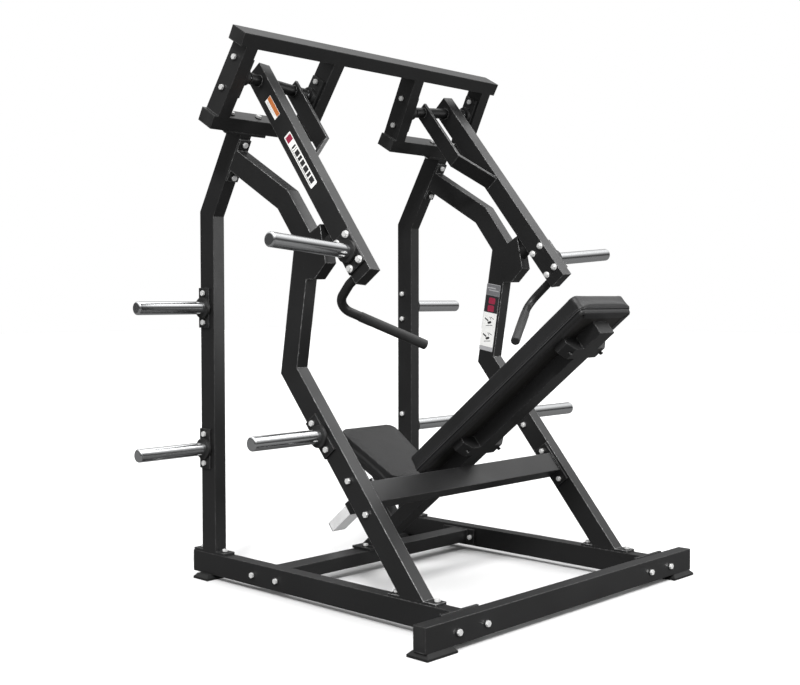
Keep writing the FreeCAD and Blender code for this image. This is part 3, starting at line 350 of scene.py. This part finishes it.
def paint_frame():
    for part in frame["record"]["subparts"]:
        name = part["node"]
        material = ODD_FINISHES.get(name, FINISHES[part["material_slot"]])
        mesh = nodes[name].data
        mesh.materials.clear()
        mesh.materials.append(material)


# ---------------------------------------------------------------- mesh helpers
def new_piece(name, mesh, body, *materials, slot=None):
    piece = bpy.data.objects.new(name, mesh)
    scene.collection.objects.link(piece)
    for material in materials:
        mesh.materials.append(material)
    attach(piece, body)
    return piece


def smooth(mesh, angle=None):
    mesh.shade_smooth()
    if angle is not None:
        mesh.set_sharp_from_angle(angle=math.radians(angle))


def local_size(node, local):
    """Lowest and highest corner of a CAD node in a local frame."""
    back = local.inverted()
    points = [back @ vertex.co for vertex in nodes[node].data.vertices]
    low = Vector([min(p[k] for p in points) for k in range(3)])
    high = Vector([max(p[k] for p in points) for k in range(3)])
    return low, high


def rounded_outline(corners, radius, step=4 * MM):
    """Points of a closed outline with rounded corners, each with its outward direction."""
    outline = []
    count = len(corners)
    for index, corner in enumerate(corners):
        before = (corners[index - 1] - corner).normalized()
        after = (corners[(index + 1) % count] - corner).normalized()
        half = before.angle(after) / 2
        centre = corner + (before + after).normalized() * (radius / math.sin(half))
        first = corner + before * (radius / math.tan(half)) - centre
        last = corner + after * (radius / math.tan(half)) - centre
        sweep = math.pi - 2 * half
        turns = max(4, round(sweep * radius / step))
        sign = 1 if first.x * last.y - first.y * last.x > 0 else -1
        for row in range(turns + 1):
            arm = Vector(first)
            arm.rotate(Matrix.Rotation(sign * sweep * row / turns, 2))
            outline.append((centre + arm, arm.normalized()))
    full = []
    for index, (point, out) in enumerate(outline):
        goal, goal_out = outline[(index + 1) % len(outline)]
        pieces = max(1, round((goal - point).length / (6 * step)))
        for row in range(pieces):
            share = row / pieces
            full.append((point.lerp(goal, share), out.lerp(goal_out, share).normalized()))
    return full


def swept_band(name, body, local, outline, profile, material, slot=None):
    """A closed profile of (outward, upward) points carried round an outline."""
    mesh = bpy.data.meshes.new(name)
    made = bmesh.new()
    rings = []
    for point, out in outline:
        ring = []
        for outward, up in profile:
            flat = point + out * outward
            ring.append(made.verts.new(local @ Vector((flat.x, flat.y, up))))
        rings.append(ring)
    for index, ring in enumerate(rings):
        after = rings[(index + 1) % len(rings)]
        for row in range(len(profile)):
            other = (row + 1) % len(profile)
            made.faces.new((ring[row], after[row], after[other], ring[other]))
    bmesh.ops.recalc_face_normals(made, faces=made.faces)
    made.to_mesh(mesh)
    made.free()
    smooth(mesh, 50)
    return new_piece(name, mesh, body, material, slot=slot)


def circle_profile(outward, up, radius):
    sides = 10
    return [(outward + radius * math.cos(math.tau * row / sides),
             up + radius * math.sin(math.tau * row / sides)) for row in range(sides)]


# ---------------------------------------------------------------- cushions
CLOTH_FRAMES = 20
PRESSURE = 4.0
PUFF_CAP = 3 * MM
HELD_HEIGHT = 8 * MM
STITCH_HEIGHT = 8 * MM
STITCH_GAP = 7 * MM
SEAM_RADIUS = 2.2 * MM
SEAM_RISE = 1.4 * MM


def remeshed(mesh, voxel):
    """The same closed form in even quads."""
    helper = bpy.data.objects.new("remesh_helper", mesh)
    scene.collection.objects.link(helper)
    remesh = helper.modifiers.new("voxels", "REMESH")
    remesh.mode = "VOXEL"
    remesh.voxel_size = voxel
    graph = bpy.context.evaluated_depsgraph_get()
    result = bpy.data.meshes.new_from_object(helper.evaluated_get(graph))
    bpy.data.objects.remove(helper)
    return result


def relaxed(mesh):
    """Edges rounded by averaging each point with its neighbours."""
    made = bmesh.new()
    made.from_mesh(mesh)
    bmesh.ops.smooth_vert(made, verts=made.verts, factor=0.5, use_axis_x=True,
                          use_axis_y=True, use_axis_z=True)
    made.to_mesh(mesh)
    made.free()


def puffed(mesh, pinned_below):
    """The mesh after a cloth simulation with pressure inside, each point's move capped."""
    helper = bpy.data.objects.new("cloth_helper", mesh)
    scene.collection.objects.link(helper)
    start = [vertex.co.copy() for vertex in mesh.vertices]
    held = helper.vertex_groups.new(name="held")
    held.add([k for k, point in enumerate(start) if point.z < pinned_below], 1.0, "REPLACE")
    cloth = helper.modifiers.new("cloth", "CLOTH")
    cloth.settings.use_pressure = True
    cloth.settings.uniform_pressure_force = PRESSURE
    cloth.settings.effector_weights.gravity = 0.0
    cloth.settings.vertex_group_mass = "held"
    cloth.settings.quality = 4
    cloth.point_cache.frame_start = 1
    cloth.point_cache.frame_end = CLOTH_FRAMES
    for number in range(1, CLOTH_FRAMES + 1):
        scene.frame_set(number)
    graph = bpy.context.evaluated_depsgraph_get()
    result = bpy.data.meshes.new_from_object(helper.evaluated_get(graph))
    bpy.data.objects.remove(helper)
    scene.frame_set(1)
    for vertex, rest in zip(result.vertices, start):
        move = vertex.co - rest
        if move.length > PUFF_CAP:
            vertex.co = rest + move * (PUFF_CAP / move.length)
    return result


def cushion(name, node, body, local, voxel, low_grow, high_grow):
    """A stuffed, upholstered pad round the CAD solid of a node; the growths are millimetres."""
    source = nodes[node].data.copy()
    source.transform(local.inverted())
    low, high = local_size(node, local)
    start = low - Vector(low_grow) * MM
    end = high + Vector(high_grow) * MM
    ratio = [(end[k] - start[k]) / (high[k] - low[k]) for k in range(3)]
    source.transform(Matrix.Translation(start) @ Matrix.Diagonal((*ratio, 1))
                     @ Matrix.Translation(-low))
    pad = remeshed(source, voxel)
    relaxed(pad)
    pad = puffed(pad, low.z + HELD_HEIGHT)
    pad.transform(local)
    pad.materials.clear()
    smooth(pad)
    piece = new_piece(name, pad, body, VINYL, slot="vinyl")
    finer = piece.modifiers.new("finer", "SUBSURF")
    finer.levels = 1
    finer.render_levels = 1
    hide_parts(node)
    return piece


def stitches(name, body, local, outline, height, pad):
    """A row of sewing stitches that lies on the side of a pad."""
    graph = bpy.context.evaluated_depsgraph_get()
    tree = BVHTree.FromObject(pad, graph)
    half, wide, proud, sunk = 2.2 * MM, 0.55 * MM, 0.35 * MM, 0.3 * MM
    from_outside = 30 * MM
    mesh = bpy.data.meshes.new(name)
    made = bmesh.new()
    walked = 0.0
    turn_to_local = local.to_3x3()
    for index, (point, out) in enumerate(outline):
        goal, _ = outline[(index + 1) % len(outline)]
        length = (goal - point).length
        along = (goal - point).normalized()
        while walked < length:
            spot = point + along * walked
            walked += STITCH_GAP
            start = local @ Vector((*(spot + out * from_outside), height))
            inward = turn_to_local @ Vector((-out.x, -out.y, 0))
            hit, normal, _, _ = tree.ray_cast(start, inward)
            if hit is None:
                continue
            forward = (turn_to_local @ Vector((*along, 0))).normalized()
            side = normal.cross(forward).normalized()
            ends = []
            for reach, width, lift in ((-1, 0.3, 0.1), (-0.6, 1, 1), (0.6, 1, 1), (1, 0.3, 0.1)):
                middle_of = hit + forward * (reach * half) + normal * (lift * proud)
                ends.append([made.verts.new(middle_of + side * (wide * width * s) - normal * d)
                             for s, d in ((-1, sunk), (0, 0), (1, sunk))])
            for first, second in zip(ends, ends[1:]):
                for row in range(2):
                    made.faces.new((first[row], second[row], second[row + 1], first[row + 1]))
        walked -= length
    made.to_mesh(mesh)
    made.free()
    smooth(mesh)
    return new_piece(name, mesh, body, THREAD, slot="vinyl")


def rectangle(low, high):
    return [Vector((low.x, low.y)), Vector((high.x, low.y)),
            Vector((high.x, high.y)), Vector((low.x, high.y))]


def upholstery(kind, body, local, outline, low, board_bottom, pad, wrap):
    """Seam, stitches and the vinyl wrap of a pad; wrap is how far it is set in and folded."""
    seam_inset, set_in, fold = wrap
    swept_band(f"{kind}_seam", body, local, outline,
               circle_profile(-seam_inset, low.z + SEAM_RISE, SEAM_RADIUS), PAINTED_HIGHLIGHT_PIPING, "vinyl")
    stitches(f"{kind}_stitches", body, local, outline, low.z + STITCH_HEIGHT, pad)
    swept_band(f"{kind}_wrap", body, local, outline,
               wrap_profile(low.z, board_bottom, set_in, fold), VINYL, "vinyl")


def backrest():
    low, high = local_size("backrest_pad", BENCH)
    board_low, _ = local_size("backrest_board", BENCH)
    pad = cushion("backrest_cushion", "backrest_pad", "frame", BENCH, 5.4 * MM,
                  (2, 5, 0), (2, 9, 8))
    over = Vector((1, 1)) * MM
    foot_reach = Vector((0, 8 * MM))
    outline = rounded_outline(rectangle(low.xy - over, high.xy + over + foot_reach), 22 * MM)
    upholstery("backrest", "frame", BENCH, outline, low, board_low.z, pad,
               (1.2 * MM, 7 * MM, 34 * MM))


def wrap_profile(top, bottom, set_in, fold):
    """Vinyl pulled round a board's edge and stapled under it."""
    under = bottom - 1.1 * MM
    return [(-set_in - 5 * MM, top - 0.4 * MM), (-set_in + 3 * MM, top - 0.4 * MM),
            (-set_in + 3.5 * MM, top - 6 * MM), (-set_in + 2 * MM, bottom + 3 * MM),
            (-set_in - 1.5 * MM, under + 0.3 * MM), (-set_in - 5 * MM, under),
            (-fold, under), (-fold, bottom - 0.1 * MM), (-set_in - 6 * MM, bottom - 0.1 * MM)]


def seat():
    low, high = local_size("seat_pad", SEAT)
    points = [SEAT.inverted() @ vertex.co for vertex in nodes["seat_pad"].data.vertices]
    reach = 60 * MM
    back_half = max(p.x for p in points if p.y < low.y + reach)
    front_half = high.x
    slope = (front_half - back_half) / (high.y - low.y - reach)
    back_half = front_half - slope * (high.y - low.y)
    corners = [Vector((-back_half, low.y)), Vector((back_half, low.y)),
               Vector((front_half, high.y)), Vector((-front_half, high.y))]
    board_low, _ = local_size("seat_board", SEAT)
    pad = cushion("seat_cushion", "seat_pad", "seat", SEAT, 5 * MM, (2, 2, 0), (2, 2, 5))
    hem = 7 * MM
    upholstery("seat", "seat", SEAT, rounded_outline(corners, 38 * MM), low,
               board_low.z - hem, pad, (1.4 * MM, 1 * MM, 30 * MM))


# ---------------------------------------------------------------- printed labels, no lettering
def patch(made, matrix, x_low, x_high, y_low, y_high, lift, material, corner=2.0, lean=0.0):
    """A thin rounded plate on the plane z = 0 of a frame; sizes in millimetres."""
    corners = [Vector((x_low, y_low)), Vector((x_high, y_low)),
               Vector((x_high, y_high)), Vector((x_low, y_high))]
    centre = Vector(((x_low + x_high) / 2, (y_low + y_high) / 2))
    limit = min(x_high - x_low, y_high - y_low) / 2 * 0.98
    ring = rounded_outline(corners, min(corner, limit), 1.0)
    spin = Matrix.Rotation(math.radians(lean), 2)
    loops = []
    for inset, height in ((0, 0.0), (0, lift * 0.8), (0.15, lift)):
        loop = []
        for point, out in ring:
            flat = centre + spin @ (point - out * inset - centre)
            loop.append(made.verts.new(matrix @ (Vector((flat.x, flat.y, height)) * MM)))
        loops.append(loop)
    faces = [made.faces.new(loops[-1])]
    for lower, upper in zip(loops, loops[1:]):
        for row in range(len(lower)):
            other = (row + 1) % len(lower)
            faces.append(made.faces.new((lower[row], lower[other], upper[other], upper[row])))
    for face in faces:
        face.material_index = material


def label(name, body, matrix, patches, materials):
    mesh = bpy.data.meshes.new(name)
    made = bmesh.new()
    for values in patches:
        patch(made, matrix, *values)
    bmesh.ops.recalc_face_normals(made, faces=made.faces)
    made.to_mesh(mesh)
    made.free()
    return new_piece(name, mesh, body, *materials)


ARM_FACE = 92.0
FILM = 0.3
INK = 0.42


def arm_labels():
    """Two films on the left arm's outer face: x runs down the arm, y across it."""
    face = Matrix.Translation(Vector((ARM_FACE * MM, 0, 0)))
    across = direction_frame(Vector(), Vector((0, 0, -1)), Vector((0, 1, 0)))
    place = MIRROR @ ARM @ face @ across
    label("arm_load_label", "left_arm", place,
          [(88, 180, -15, 17, FILM, 0), (89, 179, -14, 3, INK, 1),
           (98, 168, 6, 8, INK, 2, 0.5), (98, 150, 11, 13, INK, 2, 0.5)],
          (WHITE_FILM, ORANGE_FILM, PALE_FILM))
    bars = [(322, 8), (336, 3), (346, 22), (374, 14), (394, 20), (420, 24), (450, 14), (470, 24)]
    patches = [(266, 508, -17, 18, FILM, 0, 3), (273, 300, -14, 14, INK, 1, 1)]
    patches += [(start, start + length, -12, 9, INK, 2, 1.5) for start, length in bars]
    patches += [(322, 494, 12, 14, INK, 2, 0.5)]
    label("arm_side_label", "left_arm", place, patches, (WHITE_FILM, RED_FILM, DARK_FILM))


def leg_placard():
    """A film with plain bands and two plain diagrams, on the right leg's inner face."""
    leg_inside = 515.0
    top = Vector((leg_inside, 147.0, 1122.0)) * MM
    down = Vector((0, 76, -463)).normalized()
    across = Vector((0, down.z, -down.y))
    place = direction_frame(top, down, across)
    patches = [(0, 278, -36, 36, FILM, 0, 3), (2, 46, -35, 35, INK, 1),
               (14, 19, -30, 12, INK + 0.1, 2, 1), (24, 28, -22, 30, INK + 0.1, 2, 1),
               (47, 118, -35, 35, INK, 3), (56, 82, -16, 18, INK + 0.1, 4, 5),
               (88, 114, -18, 16, INK + 0.1, 4, 5), (119, 260, -35, 35, INK, 5),
               (262, 276, -35, 35, INK, 2)]
    for start in (132, 198):
        patches += [(start + 22, start + 32, -8, 12, INK + 0.1, 3, 4, 20),
                    (start + 14, start + 20, -26, -4, INK + 0.1, 3, 2.5, -25),
                    (start + 2, start + 16, 2, 5, INK + 0.1, 1, 1, 35),
                    (start + 6, start + 9, 4, 24, INK + 0.1, 1, 1, -20),
                    (start + 38, start + 41, -16, 20, INK + 0.1, 1, 1, 12)]
    label("leg_placard", "frame", place, patches,
          (PALE_FILM, GREY_FILM, PALE_FILM, DARK_FILM, RED_FILM, WHITE_FILM))


# ---------------------------------------------------------------- stage
FLOOR_HALF = 30.0
FLOOR_SEEN = 0.76
FLOOR_BOUNCE = 0.1
SKY = ((0.0, 0.3), (0.45, 0.16), (0.5, 0.05), (0.6, 0.09), (0.7, 0.45), (0.8, 1.1), (1.0, 1.3))
SKY_STRENGTH = 0.8
# name, place, aimed at, side in metres, power
SOFTBOXES = (("front", (2.6, -4.6, 1.7), (0, 0, 0.7), 2.2, 80),
             ("fill", (-5.2, -1.6, 1.5), (0, 0, 1.0), 2.4, 62),
             ("right", (8.6, -2.0, 9.4), (0, 0, 0.8), 5.0, 150))
# name, strength, spread, lean to the back and lean to the side in degrees
WIDE_OVERHEAD = ("wide_overhead", 1.6, 80, 8, 6)
RIM = ("rim", 2.2, 9, 27, -41)


def floor():
    mesh = bpy.data.meshes.new("floor")
    made = bmesh.new()
    bmesh.ops.create_grid(made, x_segments=1, y_segments=1, size=FLOOR_HALF)
    made.to_mesh(mesh)
    made.free()
    plane = bpy.data.objects.new("floor", mesh)
    scene.collection.objects.link(plane)
    s = Shader("studio_floor")
    seen = s.node("ShaderNodeLightPath").outputs["Is Camera Ray"]
    shade = s.mix(seen, [FLOOR_BOUNCE] * 3, [FLOOR_SEEN] * 3)
    mesh.materials.append(s.finish(Base_Color=shade, Roughness=1.0,
                                   Specular_IOR_Level=0.0))


def softbox(name, at, toward, size, power):
    data = bpy.data.lights.new(name, "AREA")
    data.shape = "SQUARE"
    data.size = size
    data.energy = power
    lamp = bpy.data.objects.new(name, data)
    lamp.location = at
    lamp.rotation_euler = (Vector(toward) - Vector(at)).to_track_quat("-Z", "Y").to_euler()
    return lamp


def overhead(name, strength, spread, lean_back, lean_side):
    data = bpy.data.lights.new(name, "SUN")
    data.energy = strength
    data.angle = math.radians(spread)
    sun = bpy.data.objects.new(name, data)
    sun.rotation_euler = (math.radians(lean_back), math.radians(lean_side), 0)
    return sun


def surroundings():
    """White to the camera; to the machine, a pale room with a dark band at eye level."""
    world = bpy.data.worlds.new("studio")
    scene.world = world
    world.use_nodes = True
    tree = world.node_tree
    tree.nodes.clear()
    add = tree.nodes.new
    link = tree.links.new
    coords = add("ShaderNodeTexCoord")
    split = add("ShaderNodeSeparateXYZ")
    link(coords.outputs["Generated"], split.inputs[0])
    ramp = add("ShaderNodeValToRGB")
    for place, level in SKY[1:-1]:
        ramp.color_ramp.elements.new(place)
    for element, (place, level) in zip(ramp.color_ramp.elements, SKY):
        element.position = place
        element.color = (level, level, level, 1)
    rise = add("ShaderNodeMapRange")
    rise.inputs["From Min"].default_value = -1
    link(split.outputs["Z"], rise.inputs["Value"])
    link(rise.outputs["Result"], ramp.inputs["Fac"])
    room = add("ShaderNodeBackground")
    room.inputs["Strength"].default_value = SKY_STRENGTH
    link(ramp.outputs["Color"], room.inputs["Color"])
    white = add("ShaderNodeBackground")
    white.inputs["Color"].default_value = (1, 1, 1, 1)
    path = add("ShaderNodeLightPath")
    choose = add("ShaderNodeMixShader")
    link(path.outputs["Is Camera Ray"], choose.inputs["Fac"])
    link(room.outputs[0], choose.inputs[1])
    link(white.outputs[0], choose.inputs[2])
    output = add("ShaderNodeOutputWorld")
    link(choose.outputs[0], output.inputs["Surface"])


def lights():
    """The wide lamp lights all; the small ones skip the chrome, which would glare."""
    lit = bpy.data.collections.new("lit_by_small_lamps")
    for piece in scene.objects:
        if piece.type == "MESH" and CHROME.name not in piece.data.materials:
            lit.objects.link(piece)
    rim = overhead(*RIM)
    rim.data.diffuse_factor = 0.0
    small = (rim, *[softbox(*values) for values in SOFTBOXES])
    for lamp in (overhead(*WIDE_OVERHEAD), *small):
        scene.collection.objects.link(lamp)
    for lamp in small:
        lamp.light_linking.receiver_collection = lit


CAMERA_AT = (-3.2768, -2.9386, 1.0618)
CAMERA_YAW = math.radians(46.306)
CAMERA_PITCH = math.radians(-2.106)
CAMERA_ROLL = math.radians(-0.073)
CAMERA_LENS = 53.07
CAMERA_SENSOR = 36.0


def camera():
    data = bpy.data.cameras.new("camera")
    data.lens = CAMERA_LENS
    data.sensor_width = CAMERA_SENSOR
    eye = bpy.data.objects.new("camera", data)
    eye.matrix_world = (Matrix.Translation(CAMERA_AT) @ turn(-CAMERA_YAW, "Z")
                        @ turn(math.pi / 2 + CAMERA_PITCH, "X") @ turn(CAMERA_ROLL, "Z"))
    scene.collection.objects.link(eye)
    scene.camera = eye


paint_frame()
backrest()
seat()
arm_labels()
leg_placard()
floor()
surroundings()
lights()
camera()
scene.view_settings.view_transform = "Standard"
